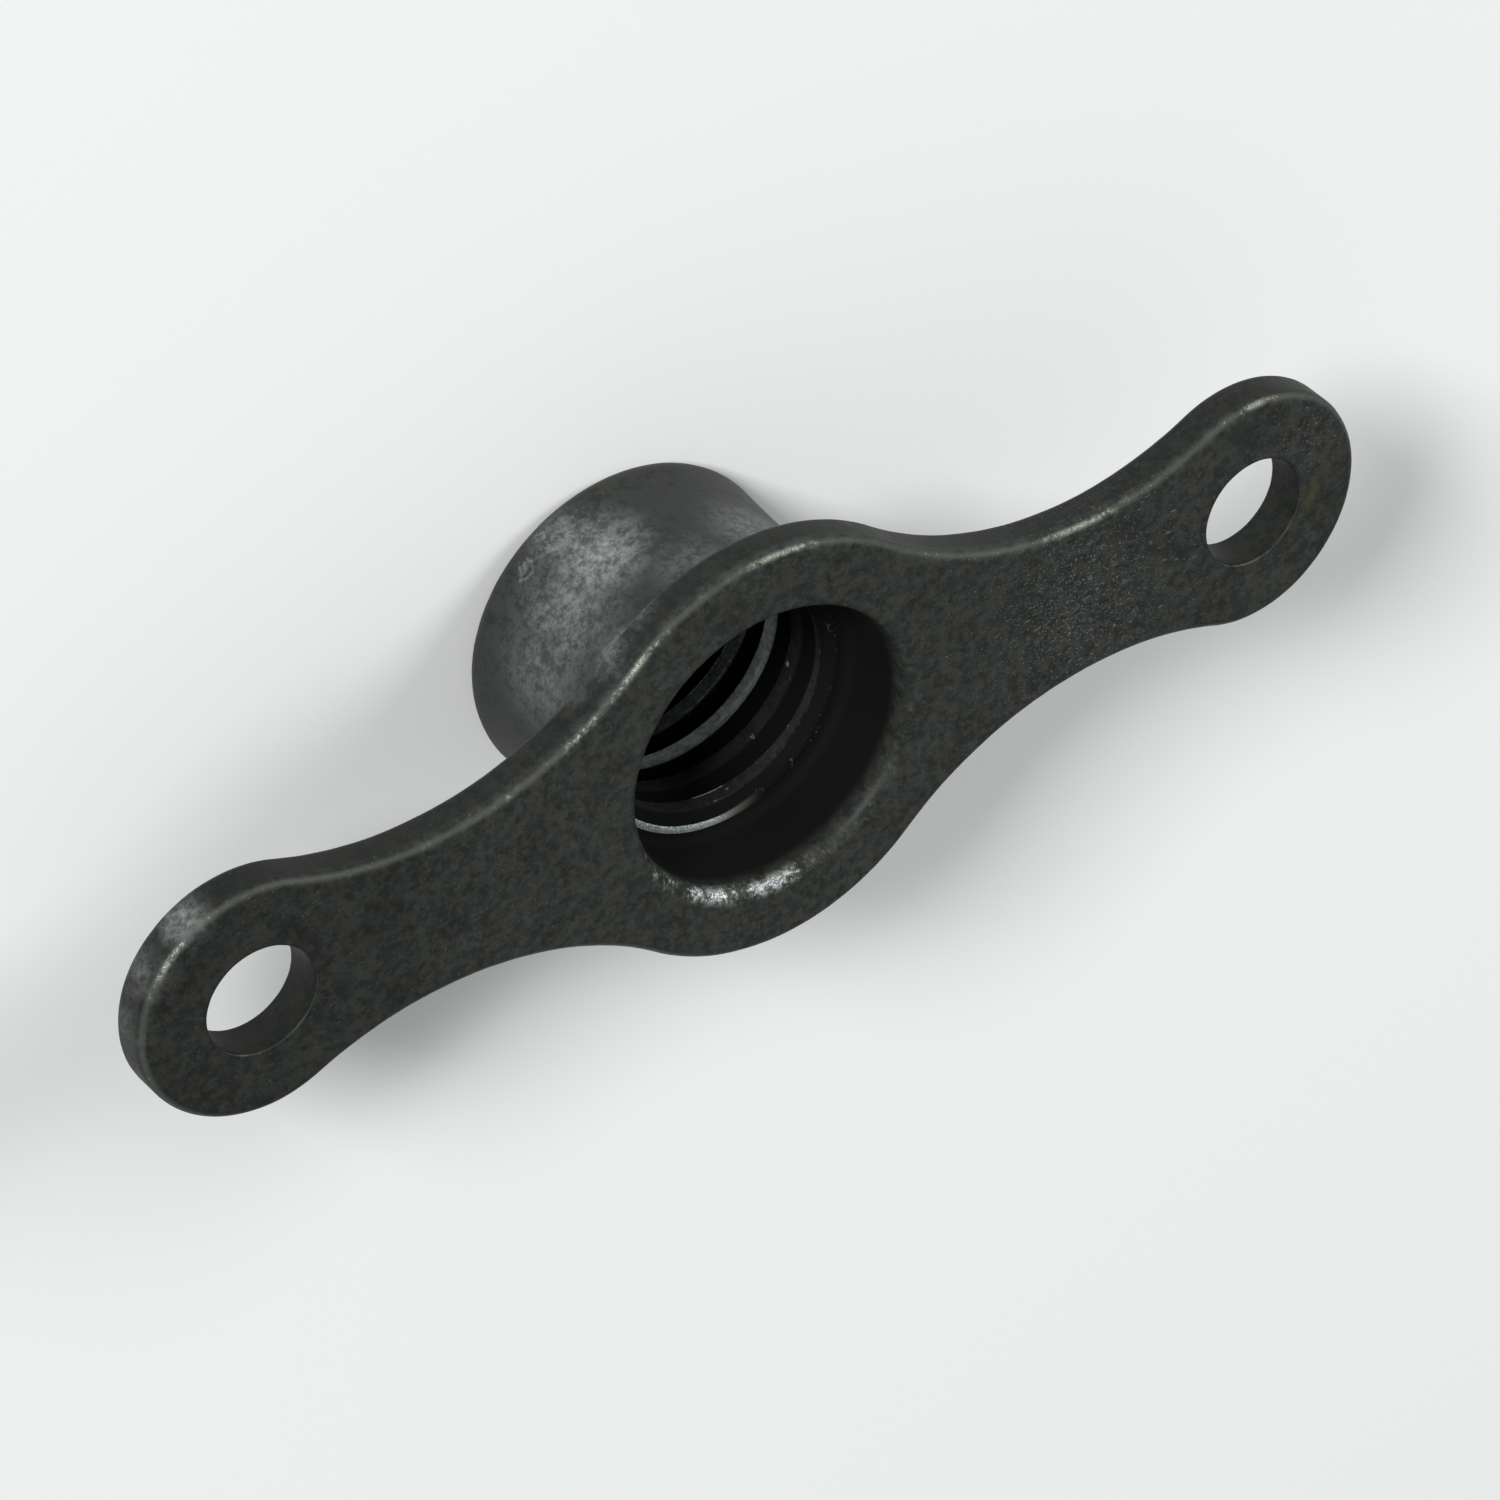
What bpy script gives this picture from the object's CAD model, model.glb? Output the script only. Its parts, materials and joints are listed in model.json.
"""Two lug anchor nut in blackened steel with its 1/4-28 thread, on a plain pale floor.

Sizes are in millimetres until the mesh is made, and directions are given as on a compass:
azimuth 0 looks from -Y and turns towards +X, and elevation rises from the floor.
"""

import json
import math

import bmesh
import bpy
import numpy as np
from mathutils import Matrix, Vector, geometry, noise


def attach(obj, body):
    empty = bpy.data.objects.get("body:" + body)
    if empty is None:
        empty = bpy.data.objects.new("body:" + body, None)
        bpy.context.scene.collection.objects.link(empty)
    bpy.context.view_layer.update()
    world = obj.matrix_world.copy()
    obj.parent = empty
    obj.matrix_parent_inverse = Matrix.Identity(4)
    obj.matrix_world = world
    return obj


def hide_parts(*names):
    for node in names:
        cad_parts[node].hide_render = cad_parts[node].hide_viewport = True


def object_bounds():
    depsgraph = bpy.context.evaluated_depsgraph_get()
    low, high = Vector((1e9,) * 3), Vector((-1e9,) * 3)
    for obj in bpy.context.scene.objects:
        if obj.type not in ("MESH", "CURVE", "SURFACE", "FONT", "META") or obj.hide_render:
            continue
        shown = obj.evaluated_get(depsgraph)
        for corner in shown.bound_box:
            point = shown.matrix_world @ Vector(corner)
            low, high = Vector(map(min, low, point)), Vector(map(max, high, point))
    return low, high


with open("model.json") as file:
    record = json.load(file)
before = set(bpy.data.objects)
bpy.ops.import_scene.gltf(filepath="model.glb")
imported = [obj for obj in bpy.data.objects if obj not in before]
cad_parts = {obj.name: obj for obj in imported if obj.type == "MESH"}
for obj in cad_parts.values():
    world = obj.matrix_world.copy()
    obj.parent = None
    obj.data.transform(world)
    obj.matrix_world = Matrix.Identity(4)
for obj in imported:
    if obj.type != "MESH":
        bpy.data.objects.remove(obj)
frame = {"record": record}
cad_lo, cad_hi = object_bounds()
mounts = {mount["name"]: mount["dims"] for mount in frame["record"]["mounts"]}
MM = 0.001
TURN = 2 * math.pi

# Plate
HALF_SPACING = mounts["rivet_holes"]["spacing_x_mm"] / 2
RIVET_R = mounts["rivet_holes"]["hole_r_mm"]
RIVET_RIM_R = 0.08
LUG_R = cad_hi.x / MM - HALF_SPACING
BULGE_R = cad_hi.y / MM
HOLLOW_R = 8.05
PLATE_T = 1.04
EDGE_R = 0.24
LUG_BOW = 0.1

# Bore: the mouth's rounding is widest towards MOUTH_WIDE_SIDE, in degrees from +X
BORE_R = mounts["thread"]["r_mm"]
COUNTERBORE_R = mounts["counterbore"]["r_mm"]
COUNTERBORE_Z = -2.1
MOUTH_R = 0.32
MOUTH_SWING = 0.12
MOUTH_WIDE_SIDE = 45
FLOOR_R = 0.28
SHOULDER_R = 0.2
LEAD_IN_H = 0.23
FAR_CHAMFER = 0.25

# Barrel
END_Z = cad_lo.z / MM
WAIST_R = 3.7
WAIST_Z = -3.0
FLARE = 0.12
END_R = 0.52
ROOT_R = 0.6

# Right-handed 1/4-28 thread: a crest's middle is at CREST_Z where the angle is CREST_ANGLE
PITCH = 25.4 / 28
ROOT_FLAT = PITCH / 8
MAJOR_R = 6.35 / 2
FLANK_SLOPE = math.tan(math.radians(30))
CREST_Z = -4.27
CREST_ANGLE = 122.2

# Mesh
AROUND = 300
RIVET_AROUND = 96
SUPPORT = 0.02
FACE_STEP = 0.4
UNEVEN = 0.012
WELD = 0.0002
SHARP_ANGLE = 35

# Dents: place, radius and depth
DENTS = [
    ((2.45, -2.8, -5.3), 0.22, 0.06),
    ((1.85, -3.25, -5.55), 0.14, 0.04),
    ((1.35, -3.5, -5.1), 0.12, 0.03),
    ((1.95, -3.2, -5.2), 0.1, 0.02),
    ((1.7, -3.4, -1.9), 0.2, 0.05),
    ((4.6, -3.3, 0.0), 0.2, 0.04),
    ((-14.9, -1.9, 0.0), 0.25, 0.04),
    ((14.0, -2.7, 0.0), 0.25, 0.05),
    ((-3.75, 0.4, 0.0), 0.15, 0.04),
]


def arc(centre, r, start, stop, count):
    """Points and outward normals along an arc, in degrees; one that turns backwards is a hollow."""
    a = np.radians(np.linspace(start, stop, count, endpoint=False))
    away = np.stack([np.cos(a), np.sin(a)], 1)
    return centre + r * away, away if stop > start else -away


def outline():
    """The plate's outline, anticlockwise from the +X lug's tip, as points and outward normals."""
    to_bulge_r = BULGE_R + HOLLOW_R
    to_lug_r = LUG_R + HOLLOW_R
    hollow_x = (to_bulge_r**2 - to_lug_r**2 + HALF_SPACING**2) / (2 * HALF_SPACING)
    hollow_y = math.sqrt(to_bulge_r**2 - hollow_x**2)
    to_bulge = math.degrees(math.atan2(-hollow_y, -hollow_x))
    to_lug = math.degrees(math.atan2(-hollow_y, HALF_SPACING - hollow_x))
    arcs = [
        arc((HALF_SPACING, 0), LUG_R, 0, 180 + to_lug, 56),
        arc((hollow_x, hollow_y), HOLLOW_R, to_lug, to_bulge, 89),
        arc((0, 0), BULGE_R, 180 + to_bulge, 90, 35),
    ]
    quarter = np.stack([np.concatenate(parts) for parts in zip(*arcs)])
    crown = np.array([[[0, BULGE_R]], [[0, 1.0]]])
    half = np.concatenate([quarter, crown, (quarter * [-1, 1])[:, :0:-1]], 1)
    tip = np.array([[[-HALF_SPACING - LUG_R, 0]], [[-1.0, 0]]])
    return np.concatenate([half, tip, (half * [1, -1])[:, :0:-1]], 1)


def bend(r, start, stop, count):
    """Offsets along a rounding of radius r, in degrees, as rows of radius and height."""
    a = np.radians(np.linspace(start, stop, count))
    return r * np.stack([np.cos(a), np.sin(a)], 1)


def hump(count):
    """Wear across a rounding: none at its ends and most in its middle."""
    return np.sin(np.linspace(0, math.pi, count))


def revolve(profile, around=AROUND):
    """A surface of revolution as [row, place around]; a profile row's radius may vary around."""
    a = np.arange(around) * TURN / around
    r, z = profile[..., 0], profile[..., 1]
    if r.ndim == 1:
        r, z = (np.repeat(v[:, None], around, 1) for v in (r, z))
    return np.stack([r * np.cos(a), r * np.sin(a), z], 2)


def thread_r(angle, z):
    """Radius of the threaded wall: flat crests on the bore, 60 degree grooves and flat roots."""
    turns = (z - CREST_Z) / PITCH - (angle - math.radians(CREST_ANGLE)) / TURN
    from_root = np.abs(turns - np.floor(turns) - 0.5) * PITCH
    rise = np.maximum((from_root - ROOT_FLAT / 2) / FLANK_SLOPE, 0)
    return np.maximum(BORE_R, MAJOR_R - rise)


class Shell:
    """Collects the nut's surface with two values at each point.

    wear is how far an edge is rubbed bright, and crest is 1 on the thread's crests.
    """

    def __init__(self):
        self.parts = []
        self.faces = []
        self.count = 0

    def add(self, points, wear=0.0, crest=0.0):
        first = self.count
        values = [np.broadcast_to(v, points.shape[:-1])[..., None] for v in (wear, crest)]
        part = np.concatenate([points, *values], -1).reshape(-1, 5)
        self.parts.append(part)
        self.count += len(part)
        return first

    def band(self, points, wear=0.0, crest=0.0, rows_a_turn=0):
        """A closed band of quads, which face inwards where the rows go down.

        rows_a_turn is how many rows a helix climbs where the band closes.
        """
        rows, around, _ = points.shape
        first = self.add(points, wear, crest)
        for row in range(rows - 1):
            for place in range(around - 1):
                a = first + row * around + place
                self.faces.append((a, a + 1, a + around + 1, a + around))
            closing = row - rows_a_turn
            if closing >= 0:
                a = first + row * around + around - 1
                b = first + closing * around
                self.faces.append((a, b, b + around, a + around))


def build_rim(shell):
    """The plate's edge, rounded above and below. Returns the loop that bounds its flat faces."""
    points, normals = outline()
    top = bend(EDGE_R, 90, 0, 9) - [EDGE_R, EDGE_R]
    bottom = top[::-1] * [1, -1] - [0, PLATE_T]
    inset = -EDGE_R - SUPPORT
    rows = np.concatenate([[[inset, 0]], top, [[0, -PLATE_T / 2]], bottom, [[inset, -PLATE_T]]])[::-1]
    wear = np.concatenate([[0], hump(len(bottom)) * 0.85, [0.12], hump(len(top)), [0]])
    height = np.broadcast_to(rows[:, None, 1:], (len(rows), len(points), 1))
    shell.band(np.concatenate([points + normals * rows[:, :1, None], height], 2), wear[:, None])
    return points + normals * inset


def build_rivet_hole(shell, x):
    """A rivet hole's wall with its eased rims. Returns the loop that bounds it."""
    top = bend(RIVET_RIM_R, 90, 180, 5) + [RIVET_R + RIVET_RIM_R, -RIVET_RIM_R]
    bottom = top[::-1] * [1, -1] - [0, PLATE_T]
    outer = RIVET_R + RIVET_RIM_R + SUPPORT
    rows = np.concatenate([[[outer, 0]], top, [[RIVET_R, -PLATE_T / 2]], bottom, [[outer, -PLATE_T]]])
    wear = np.concatenate([[0], hump(len(top)), [0], hump(len(bottom)), [0]]) * 0.85
    points = revolve(rows, RIVET_AROUND) + [x, 0, 0]
    shell.band(points, wear[:, None])
    return points[0, :, :2]


def within(points, loop, margin):
    """Which points lie inside a closed loop and at least margin from its corners."""
    after = np.roll(loop, -1, 0)
    result = np.zeros(len(points), bool)
    for (ax, ay), (bx, by) in zip(loop, after):
        if ay != by:
            crosses = (ay > points[:, 1]) != (by > points[:, 1])
            result ^= crosses & (points[:, 0] < (bx - ax) * (points[:, 1] - ay) / (by - ay) + ax)
    nearest = np.array([np.hypot(*(loop - p).T).min() for p in points])
    return result & (nearest > margin)


def outside_hole(points, loop, margin):
    """Which points lie outside a round loop and more than margin from it."""
    centre = (loop.min(0) + loop.max(0)) / 2
    a = np.arctan2(*(loop - centre).T[::-1])
    order = np.argsort(a)
    r = np.interp(
        np.arctan2(*(points - centre).T[::-1]),
        a[order],
        np.hypot(*(loop - centre).T)[order],
        period=TURN,
    )
    return np.hypot(*(points - centre).T) > r + margin


def build_face(shell, edge, holes, z, facing_up):
    """Fills a flat face of the plate with even triangles between its edge and its holes."""
    xs = np.arange(-HALF_SPACING - LUG_R, HALF_SPACING + LUG_R, FACE_STEP)
    ys = np.arange(-BULGE_R, BULGE_R, FACE_STEP * math.sqrt(0.75))
    grid = np.array([(x + FACE_STEP / 2 * (row % 2), y) for row, y in enumerate(ys) for x in xs])
    keep = within(grid, edge, FACE_STEP * 0.6)
    for hole in holes:
        keep &= outside_hole(grid, hole, FACE_STEP * 0.6)
    corners = [Vector(p) for loop in (edge, *holes) for p in loop]
    corners += [Vector(p) for p in grid[keep]]
    bounds = []
    first = 0
    for loop in (edge, *holes):
        bounds += [(first + i, first + (i + 1) % len(loop)) for i in range(len(loop))]
        first += len(loop)
    found, _, triangles, *_ = geometry.delaunay_2d_cdt(corners, bounds, [], 0, 1e-6)
    flat = np.array([tuple(p) for p in found])
    middles = np.array([flat[list(t)].mean(0) for t in triangles])
    keep = within(middles, edge, 0)
    for hole in holes:
        keep &= outside_hole(middles, hole, 0)
    first = shell.add(np.column_stack([flat, np.full(len(flat), z)]))
    for triangle, kept in zip(triangles, keep):
        if kept:
            turned = triangle if facing_up else triangle[::-1]
            shell.faces.append(tuple(first + i for i in turned))


def build_counterbore(shell):
    """From the mouth down the lead-in to the thread. Returns the loop that bounds the mouth."""
    a = np.arange(AROUND) * TURN / AROUND
    mouth_r = MOUTH_R + MOUTH_SWING * np.cos(a - math.radians(MOUTH_WIDE_SIDE))
    mouth = bend(1, 90, 180, 11)[:, None] * mouth_r[:, None]
    mouth = mouth + np.stack([COUNTERBORE_R + mouth_r, -mouth_r], 1)
    mouth = np.concatenate([mouth[:1] + [SUPPORT, 0], mouth])

    floor_z = COUNTERBORE_Z + FLOOR_R
    share = np.linspace(0, 1, 14)[1:-1, None, None]
    wall = mouth[-1:] * (1 - share) + np.array([COUNTERBORE_R, floor_z]) * share
    floor = bend(FLOOR_R, 0, -80, 8) + [COUNTERBORE_R - FLOOR_R, floor_z]
    lip_r = COUNTERBORE_R - FLOOR_R
    slope = math.degrees(math.atan2(LEAD_IN_H, lip_r - BORE_R))
    shoulder = bend(SHOULDER_R, 80, 90 + slope, 7) + [lip_r, COUNTERBORE_Z - SHOULDER_R]
    share = np.linspace(0, 1, 15)[1:, None]
    lead_in = shoulder[-1] * (1 - share) + np.array([BORE_R, COUNTERBORE_Z - LEAD_IN_H]) * share
    below = np.concatenate([floor, shoulder, lead_in])
    below = np.broadcast_to(below[:, None], (len(below), AROUND, 2))
    profile = np.concatenate([mouth, wall, below])

    points = revolve(profile)
    smooth_rows = len(profile) - len(lead_in)
    r = profile[..., 0].copy()
    r[smooth_rows:] = np.maximum(r[smooth_rows:], thread_r(a, profile[smooth_rows:, :, 1]))
    points[..., 0], points[..., 1] = r * np.cos(a), r * np.sin(a)
    lead_in_wear = [1, 1, 1, 1, 0.8] + [0] * (len(lead_in) - 5)
    unworn = np.zeros(len(wall) + len(floor))
    lip_wear = hump(len(mouth) - 1) ** 0.3
    wear = np.concatenate([[0.5], lip_wear, unworn, np.ones(len(shoulder)), lead_in_wear])
    shell.band(points, wear[:, None])
    return points[0, :, :2]


def build_thread(shell):
    """The threaded wall, in rows that climb with the helix and are cut off at both ends."""
    top, bottom = COUNTERBORE_Z - LEAD_IN_H, END_Z + FAR_CHAMFER
    crest = PITCH / 2 - ROOT_FLAT / 2 - FLANK_SLOPE * (MAJOR_R - BORE_R)
    root = PITCH / 2 - ROOT_FLAT / 2
    flank = [crest + 0.03, *np.linspace(crest, root, 4)[1:]]
    steps = [-crest, -crest * 0.85, -crest * 0.7, 0, crest * 0.7, crest * 0.85, crest, *flank]
    steps = np.array(steps + [PITCH - step for step in flank[::-1]])
    is_crest = np.array([0.7, 1, 1, 1, 1, 1, 0.7] + [0] * 2 * len(flank))
    is_edge = np.array([1, 1, 0, 0, 0, 1, 1] + [0] * 2 * len(flank))
    turns = math.ceil((top - bottom) / PITCH) + 3
    start = CREST_Z + PITCH * (turns // 2 + 1)
    rows = np.concatenate([start - PITCH * turn - steps for turn in range(turns)])

    a = np.arange(AROUND) * TURN / AROUND
    z = rows[:, None] + PITCH * (a - math.radians(CREST_ANGLE)) / TURN
    cut = np.clip(z, bottom, top)
    r = thread_r(a, cut)
    on_crest = np.tile(is_crest, turns)[:, None] * (r < BORE_R + 0.004)
    on_edge = np.tile(is_edge, turns)[:, None] * (z == cut)
    points = np.stack([r * np.cos(a), r * np.sin(a), cut], 2)
    shell.band(points, on_edge, on_crest, len(steps))


def build_far_chamfer(shell):
    """The far chamfer, through which the last groove runs out. Returns its lower edge."""
    top = END_Z + FAR_CHAMFER
    share = np.linspace(0, 1, 13)[:, None]
    cone = np.array([BORE_R, top]) * (1 - share) + np.array([BORE_R + FAR_CHAMFER, END_Z]) * share
    a = np.arange(AROUND) * TURN / AROUND
    points = revolve(cone)
    r = np.maximum(cone[:, :1], thread_r(a, points[..., 2]))
    points[..., 0], points[..., 1] = r * np.cos(a), r * np.sin(a)
    shell.band(points)
    return points[-1]


def build_barrel(shell, inner):
    """The barrel's end face and outside. Returns the loop where its fillet meets the plate."""
    end_z = END_Z + END_R
    bow_r = ((WAIST_Z - end_z) ** 2 + FLARE**2) / (2 * FLARE)
    bow_x = WAIST_R + bow_r
    end_x = bow_x - math.sqrt((bow_r + END_R) ** 2 - (end_z - WAIST_Z) ** 2)
    end_turn = math.degrees(math.atan2(end_z - WAIST_Z, bow_x - end_x))
    end = bend(END_R, -90, end_turn, 13) + [end_x, end_z]

    root_z = -PLATE_T - ROOT_R
    root_x = bow_x - math.sqrt((bow_r - ROOT_R) ** 2 - (root_z - WAIST_Z) ** 2)
    root_turn = 180 - math.degrees(math.atan2(root_z - WAIST_Z, bow_x - root_x))
    root = bend(ROOT_R, root_turn, 90, 13) + [root_x, root_z]

    z = np.linspace(end[-1, 1], root[0, 1], 38)[1:-1]
    body = np.stack([bow_x - np.sqrt(bow_r**2 - (z - WAIST_Z) ** 2), z], 1)
    points = revolve(np.concatenate([end, body, root, [[root_x + SUPPORT, -PLATE_T]]]))
    share = np.array([0.0, 0.1, 0.9])[:, None, None]
    points = np.concatenate([inner * (1 - share) + points[:1] * share, points])
    wear = np.concatenate([[0.5, 0, 0], hump(len(end)), np.zeros(len(body) + len(root) + 1)])
    shell.band(points, wear[:, None])
    return points[-1, :, :2]


def bow_lugs(points):
    """Bends the lugs a little towards the barrel."""
    out = np.maximum(np.abs(points[:, 0]) - BULGE_R, 0) / (HALF_SPACING - BULGE_R)
    points[:, 2] -= LUG_BOW * out**2


def read_vectors(items, name):
    values = np.empty(len(items) * 3)
    items.foreach_get(name, values)
    return values.reshape(-1, 3)


def roughen(mesh):
    """Sinks the smooth surfaces a little and unevenly, and adds the dents."""
    places = read_vectors(mesh.vertices, "co") / MM
    normals = read_vectors(mesh.vertices, "normal")
    waves = [noise.noise(Vector(p) * 0.8) + 0.6 * noise.noise(Vector(p) * 2.7) for p in places]
    depth = UNEVEN * np.clip(1 + np.array(waves), 0, 2) / 2
    depth[np.hypot(*places[:, :2].T) < COUNTERBORE_R * 0.95] = 0
    for centre, r, dent in DENTS:
        near = 1 - ((places - centre) ** 2).sum(1) / r**2
        depth += dent * np.maximum(near, 0) ** 2
    sunk = (places - normals * depth[:, None]) * MM
    mesh.vertices.foreach_set("co", sunk.ravel())


def make_mesh(shell, name):
    data = np.concatenate(shell.parts)
    points, values = data[:, :3], data[:, 3:]
    bow_lugs(points)
    mesh = bpy.data.meshes.new(name)
    mesh.from_pydata((points * MM).tolist(), [], shell.faces)
    for label, column in zip(("wear", "crest"), values.T):
        mesh.attributes.new(label, "FLOAT", "POINT").data.foreach_set("value", column)
    edit = bmesh.new()
    edit.from_mesh(mesh)
    bmesh.ops.remove_doubles(edit, verts=edit.verts, dist=WELD * MM)
    bmesh.ops.dissolve_degenerate(edit, edges=edit.edges, dist=WELD * MM / 2)
    bmesh.ops.delete(edit, geom=[v for v in edit.verts if not v.link_faces], context="VERTS")
    edit.to_mesh(mesh)
    edit.free()
    roughen(mesh)
    mesh.shade_smooth()
    mesh.set_sharp_from_angle(angle=math.radians(SHARP_ANGLE))
    obj = bpy.data.objects.new(name, mesh)
    bpy.context.scene.collection.objects.link(obj)
    return obj


def build_nut():
    shell = Shell()
    edge = build_rim(shell)
    rivet_holes = [build_rivet_hole(shell, x) for x in (HALF_SPACING, -HALF_SPACING)]
    mouth = build_counterbore(shell)
    build_thread(shell)
    root = build_barrel(shell, build_far_chamfer(shell))
    build_face(shell, edge, [mouth, *rivet_holes], 0, True)
    build_face(shell, edge, [root, *rivet_holes], -PLATE_T, False)
    return make_mesh(shell, "nut_shell")


class Graph:
    """Adds nodes to a material. Apart from feed and node, each method returns an output."""

    def __init__(self, name):
        self.material = bpy.data.materials.new(name)
        self.material.use_nodes = True
        self.nodes = self.material.node_tree.nodes
        self.links = self.material.node_tree.links
        self.shader = self.nodes["Principled BSDF"]

    def feed(self, socket, value):
        if isinstance(value, bpy.types.NodeSocket):
            self.links.new(value, socket)
        else:
            socket.default_value = value

    def node(self, kind, inputs, **settings):
        node = self.nodes.new(kind)
        for name, value in settings.items():
            setattr(node, name, value)
        for name, value in inputs.items():
            self.feed(node.inputs[name], value)
        return node

    def math(self, operation, a, b=0.0):
        return self.node("ShaderNodeMath", {0: a, 1: b}, operation=operation).outputs[0]

    def sum(self, *terms):
        """The sum of values, each times its own weight."""
        total = 0.0
        for value, weight in terms:
            inputs = {0: value, 1: weight, 2: total}
            total = self.node("ShaderNodeMath", inputs, operation="MULTIPLY_ADD").outputs[0]
        return total

    def times(self, first, *others):
        """The product of values."""
        product = first
        for value in others:
            product = self.math("MULTIPLY", product, value)
        return product

    def most(self, first, *others):
        """The largest of values."""
        largest = first
        for value in others:
            largest = self.math("MAXIMUM", largest, value)
        return largest

    def fade(self, value, low, high, to_low=0.0, to_high=1.0):
        """A smooth step from to_low where the value is low to to_high where it is high."""
        inputs = {"Value": value, 1: low, 2: high, 3: to_low, 4: to_high}
        node = self.node("ShaderNodeMapRange", inputs, interpolation_type="SMOOTHSTEP")
        return node.outputs["Result"]

    def noise(self, place, scale, detail=2.0, stretch=(1, 1, 1)):
        if stretch != (1, 1, 1):
            place = self.node("ShaderNodeMapping", {"Vector": place, "Scale": stretch}).outputs[0]
        inputs = {"Vector": place, "Scale": scale, "Detail": detail}
        return self.node("ShaderNodeTexNoise", inputs).outputs["Fac"]

    def mix(self, share, a, b):
        """Colour a, with this share of colour b over it."""
        node = self.node("ShaderNodeMix", {"Factor": share}, data_type="RGBA")
        self.feed(node.inputs[6], a)
        self.feed(node.inputs[7], b)
        return node.outputs[2]

    def blend(self, share, a, b):
        """The same for two values."""
        return self.node("ShaderNodeMix", {0: share, 2: a, 3: b}).outputs[0]

    def length(self, a, b):
        return self.math("SQRT", self.math("ADD", self.math("POWER", a, 2), self.math("POWER", b, 2)))

    def nearness(self, place, spots):
        """The spots' strength in their middles, falling smoothly to 0 at their radii."""
        near = 0.0
        for centre, reach, strength in spots:
            inputs = {0: place, 1: centre}
            away = self.node("ShaderNodeVectorMath", inputs, operation="DISTANCE").outputs["Value"]
            near = self.most(near, self.fade(away, reach, 0, 0, strength))
        return near

    def attribute(self, name):
        return self.node("ShaderNodeAttribute", {}, attribute_name=name).outputs["Fac"]


# Finish colours
BLACK = (0.012, 0.0138, 0.0118, 1)
BLACK_PALE = (0.034, 0.037, 0.0325, 1)
BLACK_WARM = (0.03, 0.0265, 0.0185, 1)
BLACK_COOL = (0.0175, 0.0245, 0.022, 1)
GREY = (0.026, 0.028, 0.0265, 1)
RUBBED = (0.24, 0.249, 0.247, 1)
DEEP = (0.002, 0.0025, 0.002, 1)
CREST = (0.7, 0.78, 0.75, 1)
OLIVE = (0.08, 0.09, 0.072, 1)
BARE = (0.28, 0.29, 0.25, 1)
BRIGHT = (0.48, 0.51, 0.53, 1)
STAIN = (0.075, 0.055, 0.015, 1)
BUMP_HEIGHT = 0.02

# Wear: each spot has a place, a radius and a strength. These are where edges are rubbed most
EDGE_RUBS = [
    ((3.3, -4.0, 0.0), 1.3, 1.0),
    ((4.8, -3.1, 0.0), 1.2, 0.8),
    ((-0.5, -4.9, 0.0), 1.4, 1.0),
    ((-8.1, -2.1, 0.0), 1.5, 1.0),
    ((-12.9, -2.7, 0.0), 0.8, 1.0),
    ((14.6, -2.0, -0.1), 0.9, 0.9),
    ((3.3, -3.8, -1.0), 0.9, 0.8),
    ((13.3, 1.2, -0.1), 0.9, 0.8),
    ((-12.4, 1.2, -0.1), 1.2, 0.8),
    ((0.3, 3.4, -0.1), 1.5, 1.0),
    ((1.7, 3.0, -0.1), 1.5, 1.0),
    ((2.9, 2.0, -0.1), 1.4, 0.5),
    ((0.1, 2.8, -2.75), 0.6, 1.8),
    ((-1.8, 2.1, -5.1), 1.9, 1.2),
]
# Where the shoulder's edge shines as a ring
RING_RUB = [((1.4, 2.8, -2.1), 2.8, 1.3)]
# Where the finish is rubbed thin
THIN_SPOTS = [
    ((1.4, -3.45, -4.1), 1.6, 1.0),
    ((1.6, -3.3, -5.1), 1.1, 0.7),
    ((2.5, -2.7, -3.7), 1.9, 0.6),
    ((3.3, -1.6, -3.6), 1.8, 0.4),
    ((2.6, -2.8, -1.8), 1.0, 0.7),
    ((3.4, -3.75, -0.95), 0.9, 0.6),
    ((2.5, -4.35, -1.0), 0.6, 0.6),
    ((4.1, -3.0, -0.95), 0.7, 0.3),
    ((0.2, -3.75, -2.4), 1.3, 0.3),
    ((-2.0, -3.1, -2.9), 1.8, 0.75),
    ((14.1, -2.65, -0.65), 0.9, 0.9),
    ((15.1, -1.7, -0.8), 1.0, 0.45),
    ((15.6, -0.4, -0.9), 1.1, 0.35),
]
# Where light specks and scratches are thickest
SPECKS = [
    ((-8.0, 0.0, 0.0), 5.0, 1.0),
    ((-14.5, -1.5, -0.1), 2.0, 0.8),
    ((1.8, -3.2, -4.8), 1.5, 1.0),
]
# Glints on the thread's two uppermost crests
GLINTS = [
    ((-2.65, 1.05, -3.33), 0.11, 2.0),
    ((-2.78, 0.95, -2.55), 0.12, 2.0),
    ((-1.51, 2.4, -3.23), 0.08, 1.6),
    ((-0.33, 2.83, -2.53), 0.08, 1.5),
    ((-1.24, 2.6, -2.6), 0.1, 1.5),
]
# A faint brown stain beside a rivet hole
STAINS = [((-14.25, 0.35, -0.15), 0.5, 0.3)]


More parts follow.
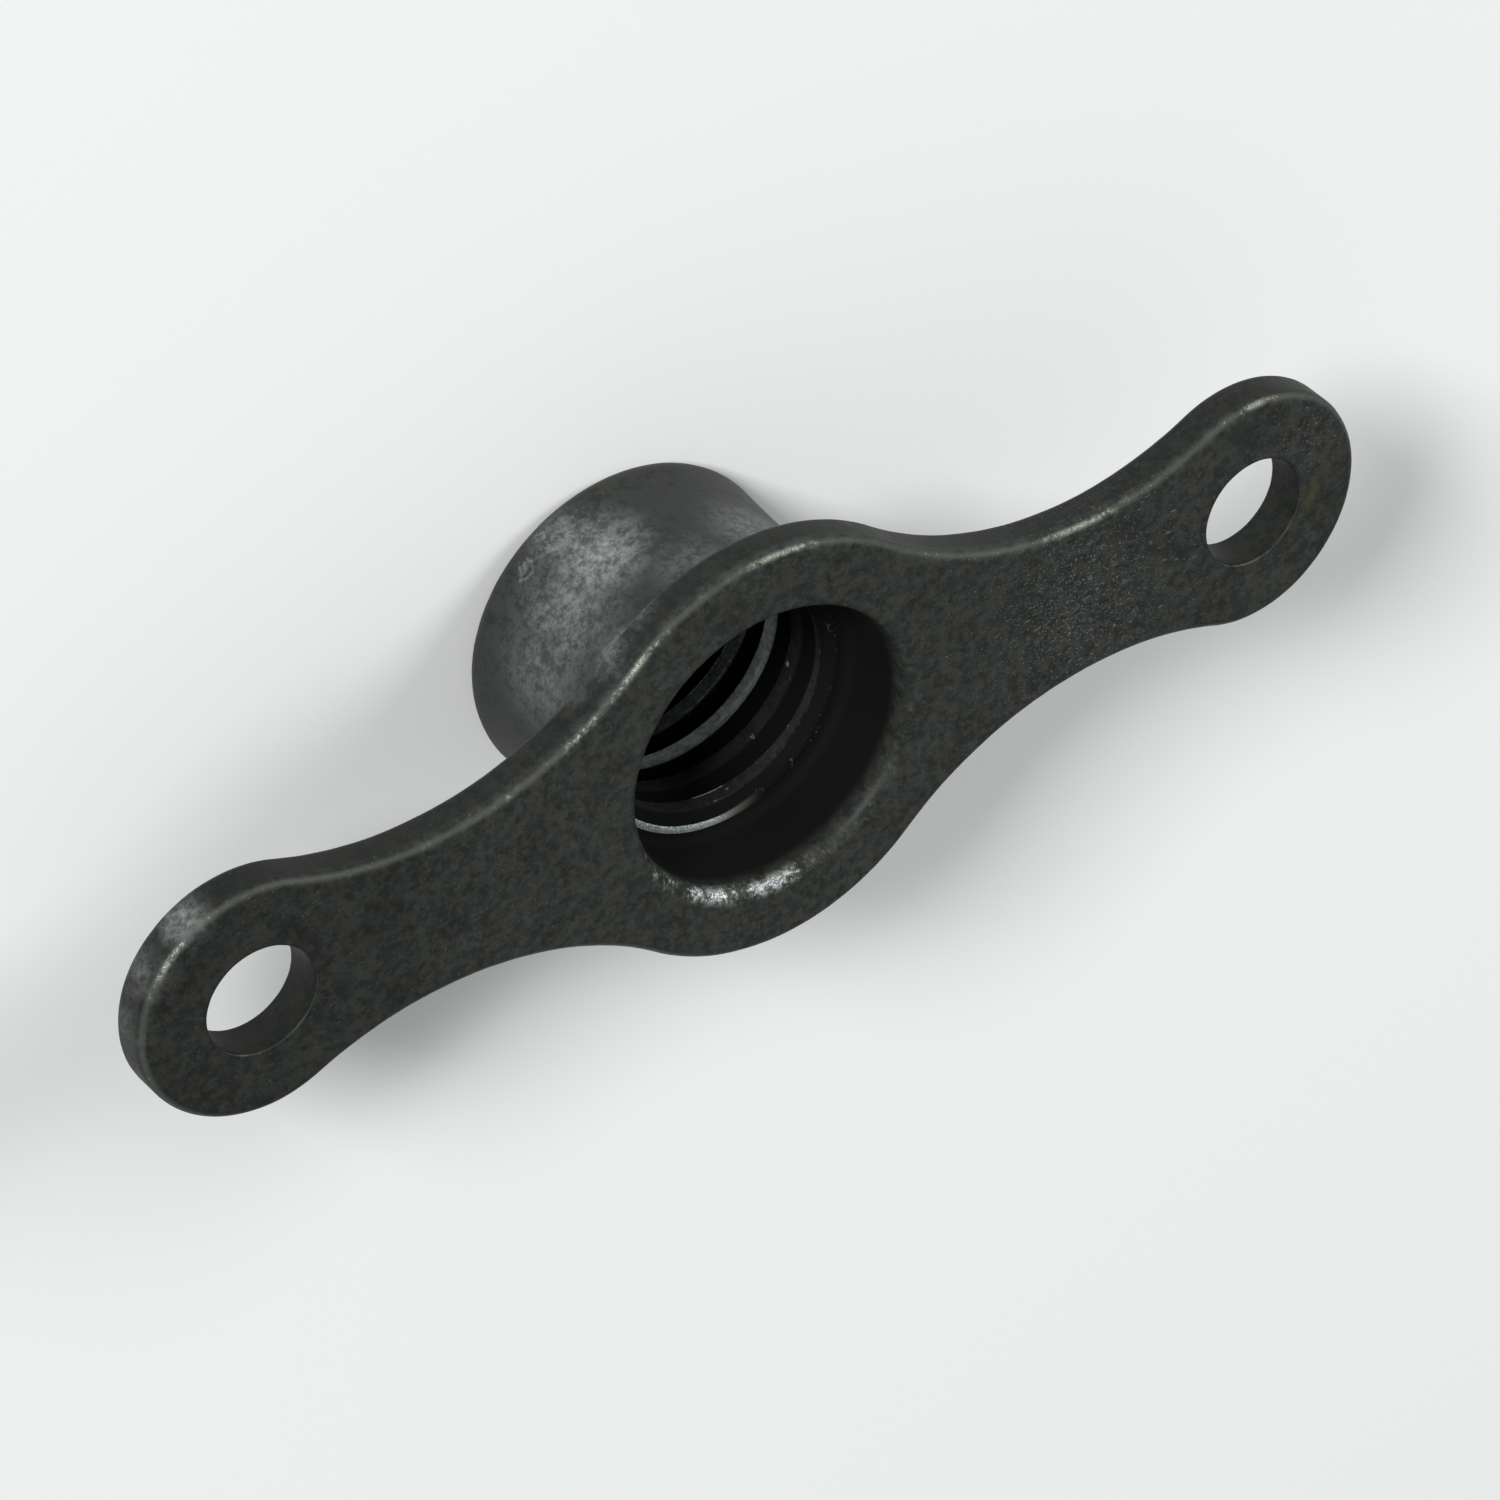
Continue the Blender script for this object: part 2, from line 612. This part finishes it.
class WornSteel(Graph):
    """Worn black finish over steel, in layers that share their places and noises.

    A layer takes the colour below it and returns its own. Fades over x, z or a radius are in
    millimetres.
    """

    def __init__(self, name):
        super().__init__(name)
        metres = self.node("ShaderNodeTexCoord", {}).outputs["Object"]
        inputs = {"Vector": metres, "Scale": (1 / MM, 1 / MM, 1 / MM)}
        self.place = self.node("ShaderNodeMapping", inputs).outputs[0]
        self.x, self.y, self.z = self.node("ShaderNodeSeparateXYZ", {0: self.place}).outputs
        self.r = self.length(self.x, self.y)
        self.blotches = self.noise(self.place, 0.8, 3)
        self.clouds = self.noise(self.place, 4, 4)
        self.grain = self.noise(self.place, 9, 4)
        self.grit = self.noise(self.place, 22, 2)
        self.mottle = self.sum(
            (self.blotches, 0.15), (self.clouds, 0.35), (self.grain, 0.3), (self.grit, 0.2)
        )
        self.on_barrel = self.times(self.fade(self.r, 3.5, 3.6), self.fade(self.z, -1.05, -1.6))
        self.in_bore = self.times(self.fade(self.r, 3.62, 3.42), self.fade(self.z, -0.25, -0.7))
        self.outside = self.fade(self.r, 3.9, 4.3)
        self.thin = self.nearness(self.place, THIN_SPOTS)
        self.clean_crest = self.find_clean_crest()
        self.rubbed_line = self.find_rubbed_line()
        gritty = self.fade(self.grit, 0.38, 0.62, 0.3, 1)
        self.bare_share = self.times(self.fade(self.rubbed_line, 0.45, 1), gritty)

    def find_clean_crest(self):
        """The thread's crests are clean in its middle, where a screw has run."""
        crest = self.times(self.attribute("crest"), self.fade(self.z, -3.6, -4.0, 0.025, 1))
        return self.times(
            crest,
            self.fade(self.z, -5.1, -4.6, 0.2, 1),
            self.fade(self.mottle, 0.4, 0.6, 0.5, 1),
        )

    def find_rubbed_line(self):
        """How far edges are rubbed: here and there, most at the spots, and softly along the rim."""
        wear = self.attribute("wear")
        ring = self.times(self.nearness(self.place, RING_RUB), self.fade(self.z, -2.4, -2.3))
        rub = self.nearness(self.place, EDGE_RUBS)
        chance = self.sum(
            (self.clouds, 0.4), (self.grain, 0.4), (self.grit, 0.2), (rub, 0.22), (self.outside, 0.04)
        )
        rubbed = self.most(self.fade(chance, 0.52, 0.76), ring)
        line = self.times(self.math("POWER", wear, 4), rubbed)
        soft_line = self.times(self.math("POWER", wear, 2), self.outside, 0.31)
        return self.most(line, soft_line)

    def black(self):
        """Mottled black with warm and cool tints and the stain, and darker towards +X."""
        tone = self.sum(
            (self.blotches, 0.2), (self.clouds, 0.4), (self.grain, 0.25), (self.grit, 0.15)
        )
        tints = self.noise(self.place, 2, 3)
        colour = self.mix(self.fade(tone, 0.4, 0.6), BLACK, BLACK_PALE)
        colour = self.mix(self.fade(tints, 0.5, 0.66, 0, 0.4), colour, BLACK_WARM)
        colour = self.mix(self.fade(tints, 0.5, 0.34, 0, 0.4), colour, BLACK_COOL)
        colour = self.mix(self.nearness(self.place, STAINS), colour, STAIN)
        return self.mix(self.fade(self.x, 5, 12, 0, 0.3), colour, DEEP)

    def add_specks(self, colour):
        """Light specks and short scratches."""
        scratches = self.noise(self.place, 6, 2, (0.8, 3.5, 1))
        spotted = self.nearness(self.place, SPECKS)
        scratched = self.sum((scratches, 1.0), (spotted, 0.03), (1.0, -0.05))
        specks = self.sum((self.most(self.grit, scratched), 1.0), (spotted, 0.095))
        return self.mix(self.fade(specks, 0.68, 0.82, 0, 0.5), colour, RUBBED)

    def rub_barrel(self, colour):
        """The barrel's grey, and the spots where the finish is rubbed thin."""
        grey_share = self.times(self.on_barrel, self.fade(self.mottle, 0.4, 0.6, 0.2, 1))
        colour = self.mix(grey_share, colour, GREY)
        thin_share = self.times(self.thin, self.fade(self.mottle, 0.4, 0.66, 0.2, 1))
        return self.mix(thin_share, colour, RUBBED)

    def add_burrs(self, colour):
        """An uneven pale burr around each dent in the barrel."""
        inputs = {"Vector": self.place, "Scale": 3.5}
        shift = self.node("ShaderNodeTexNoise", inputs).outputs["Color"]
        inputs = {"Vector": shift, "Location": (-0.5, -0.5, -0.5)}
        shift = self.node("ShaderNodeMapping", inputs).outputs[0]
        inputs = {0: shift, 1: (0.7, 0.7, 0.7), 2: self.place}
        shifted = self.node("ShaderNodeVectorMath", inputs, operation="MULTIPLY_ADD").outputs[0]
        dent = self.nearness(shifted, [(centre, 1.5 * radius, 1.0) for centre, radius, _ in DENTS])
        burr = self.times(self.fade(dent, 0.05, 0.3), self.fade(dent, 0.9, 0.5), self.on_barrel)
        share = self.times(burr, self.fade(self.grain, 0.4, 0.56, 0.1, 0.3))
        return self.mix(share, colour, RUBBED)

    def darken_recesses(self, colour):
        """The bore, the rivet holes and the plate's side keep most of their finish."""
        from_hole = self.math("SUBTRACT", self.math("ABSOLUTE", self.x), HALF_SPACING)
        rivet_r = self.length(from_hole, self.y)
        in_rivet_hole = self.times(self.fade(rivet_r, RIVET_R + 0.1, RIVET_R), 0.6)
        unrubbed = self.math("SUBTRACT", 1.0, self.most(self.on_barrel, self.thin))
        below_face = self.fade(self.z, -0.15, -0.4, 0, 0.55)
        on_rim = self.times(self.fade(self.r, 3.6, 4.6), below_face, unrubbed)
        return self.mix(self.most(on_rim, self.in_bore, in_rivet_hole), colour, DEEP)

    def clean_thread(self, colour):
        """The thread's clean crests and its glints."""
        colour = self.mix(self.clean_crest, colour, CREST)
        glints = self.times(self.nearness(self.place, GLINTS), self.fade(self.grit, 0.4, 0.6))
        return self.mix(self.times(glints, self.fade(self.r, 3.3, 3.2)), colour, BRIGHT)

    def rub_edges(self, colour):
        """Olive edges, which are bare steel where they are rubbed most."""
        colour = self.mix(self.fade(self.rubbed_line, 0.05, 0.6, 0, 0.9), colour, OLIVE)
        return self.mix(self.bare_share, colour, self.mix(self.outside, BRIGHT, BARE))

    def roughness(self):
        value = self.blend(self.fade(self.mottle, 0.35, 0.65), 0.42, 0.58)
        value = self.blend(self.in_bore, value, 0.85)
        value = self.blend(self.clean_crest, value, 0.35)
        return self.blend(self.bare_share, value, 0.42)

    def bump(self):
        """A fine grain, with turning marks around the barrel."""
        turning = self.times(self.noise(self.place, 5, 2, (0.12, 0.12, 3)), self.on_barrel)
        height = self.sum((self.grain, 0.7), (self.grit, 0.3), (turning, 0.4))
        height = self.sum((height, 1.0), (self.times(self.grit, self.bare_share), 0.8))
        inputs = {"Height": height, "Distance": BUMP_HEIGHT * MM, "Strength": 0.7}
        return self.node("ShaderNodeBump", inputs).outputs[0]


def steel():
    worn = WornSteel("blackened_steel")
    colour = worn.add_specks(worn.black())
    colour = worn.add_burrs(worn.rub_barrel(colour))
    colour = worn.clean_thread(worn.darken_recesses(colour))
    colour = worn.rub_edges(colour)
    inputs = worn.shader.inputs
    worn.feed(inputs["Base Color"], colour)
    worn.feed(inputs["Roughness"], worn.roughness())
    worn.feed(inputs["Metallic"], worn.times(worn.bare_share, 0.7))
    worn.feed(inputs["Normal"], worn.bump())
    worn.feed(inputs["Specular IOR Level"], 0.13)
    return worn.material


def facing(azimuth, elevation):
    a, e = math.radians(azimuth), math.radians(elevation)
    return Vector((math.sin(a) * math.cos(e), -math.cos(a) * math.cos(e), math.sin(e)))


def add_lamp(name, azimuth, elevation, distance, size, irradiance):
    """A square lamp, in metres; at irradiance 1 a surface that faces it shows its own colour."""
    light = bpy.data.lights.new(name, "AREA")
    light.size = size
    light.energy = irradiance * (math.pi * distance) ** 2
    towards = facing(azimuth, elevation)
    lamp = bpy.data.objects.new(name, light)
    turned = towards.to_track_quat("Z", "Y").to_matrix().to_4x4()
    lamp.matrix_world = Matrix.Translation(towards * distance) @ turned
    bpy.context.scene.collection.objects.link(lamp)


# Camera, fitted to the photograph: AIM is the point of the plate's face in the frame's middle
VIEW_AZIMUTH = 33.65
VIEW_ELEVATION = 40.91
VIEW_ROLL = 130.25
VIEW_DISTANCE = 175.83
AIM = (0.648, -0.388, 0.0)
FOCAL_PX = 8454.6
FRAME_PX = 1500
SENSOR = 36


def add_camera():
    back = facing(VIEW_AZIMUTH, VIEW_ELEVATION)
    level = facing(VIEW_AZIMUTH + 90, 0)
    roll = math.radians(VIEW_ROLL)
    right = math.cos(roll) * level + math.sin(roll) * back.cross(level)
    turned = Matrix((right, back.cross(right), back)).transposed().to_4x4()
    camera = bpy.data.cameras.new("camera")
    camera.sensor_width = SENSOR
    camera.lens = FOCAL_PX / FRAME_PX * SENSOR
    camera.clip_start = 0.01
    obj = bpy.data.objects.new("camera", camera)
    obj.matrix_world = Matrix.Translation((Vector(AIM) + back * VIEW_DISTANCE) * MM) @ turned
    bpy.context.scene.collection.objects.link(obj)
    bpy.context.scene.camera = obj


def add_floor():
    bpy.ops.mesh.primitive_plane_add(size=3, location=(0, 0, END_Z * MM))
    floor = bpy.context.object
    floor.name = "floor"
    g = Graph("floor")
    g.feed(g.shader.inputs["Base Color"], (0.79, 0.8, 0.79, 1))
    g.feed(g.shader.inputs["Roughness"], 0.9)
    g.feed(g.shader.inputs["Specular IOR Level"], 0.1)
    floor.data.materials.append(g.material)


def add_world():
    world = bpy.data.worlds.new("world")
    world.use_nodes = True
    background = world.node_tree.nodes["Background"]
    background.inputs["Color"].default_value = (0.95, 0.98, 1, 1)
    background.inputs["Strength"].default_value = 0.35
    bpy.context.scene.world = world


nut = build_nut()
nut.data.materials.append(steel())
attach(nut, "root")
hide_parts("anchor_nut")
add_floor()
add_camera()
add_world()
add_lamp("key", azimuth=45, elevation=27, distance=0.9, size=0.207, irradiance=1.15)
add_lamp("fill", azimuth=-60, elevation=30, distance=0.9, size=0.288, irradiance=0.5)
bpy.context.scene.view_settings.view_transform = "Standard"
